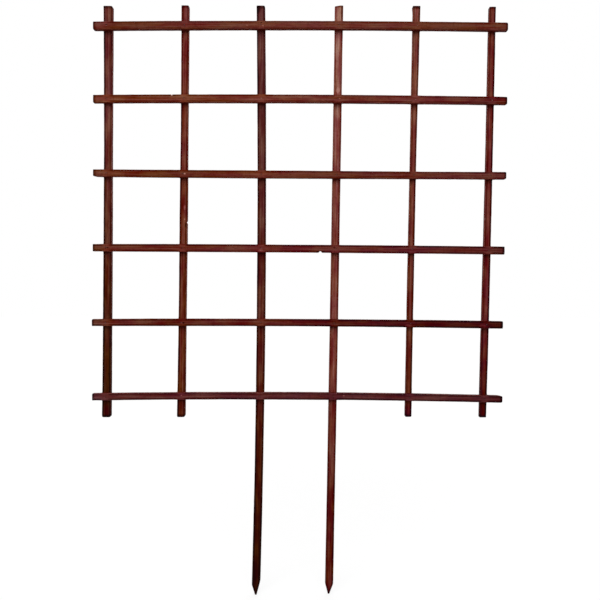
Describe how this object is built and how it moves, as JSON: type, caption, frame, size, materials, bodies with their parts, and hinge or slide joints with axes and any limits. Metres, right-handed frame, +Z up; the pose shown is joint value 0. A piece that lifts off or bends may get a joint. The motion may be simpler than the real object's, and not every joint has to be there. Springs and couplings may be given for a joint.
{
  "type": "espalier trellis",
  "caption": "Flat square grid of red-stained sawn laths, rails bradded over uprights, with two long middle uprights that run down into pointed ground stakes.",
  "frame": {"origin": "on the ground plane of the stakes' points, under the middle of the grid, on the plane where the rails' backs lie on the uprights' fronts", "axes": "+Z up along the uprights; X along the rails, to the right when seen from the front; the rails face the front at -Y and the uprights' backs face +Y"},
  "size_m": [0.8482, 0.0254, 1.221],
  "materials": {
    "rail_wood": "rough-sawn softwood, red-brown exterior stain, satin",
    "upright_wood": "rough-sawn softwood, red-brown exterior stain, satin",
    "stake_wood": "rough-sawn softwood, red-brown exterior stain, satin, darker towards the point",
    "brad_steel": "flattened wire brad, dulled zinc, with a film of stain"
  },
  "bodies": {
    "root": {"bottom_rail": "rail_wood", "fifth_rail": "rail_wood", "fourth_rail": "rail_wood", "third_rail": "rail_wood", "second_rail": "rail_wood", "top_rail": "rail_wood", "left_outer_upright": "upright_wood", "left_inner_upright": "upright_wood", "right_inner_upright": "upright_wood", "right_outer_upright": "upright_wood", "left_stake": "stake_wood", "right_stake": "stake_wood", "bottom_rail_brads": "brad_steel", "fifth_rail_brads": "brad_steel", "fourth_rail_brads": "brad_steel", "third_rail_brads": "brad_steel", "second_rail_brads": "brad_steel", "top_rail_brads": "brad_steel"}
  },
  "joints": []
}
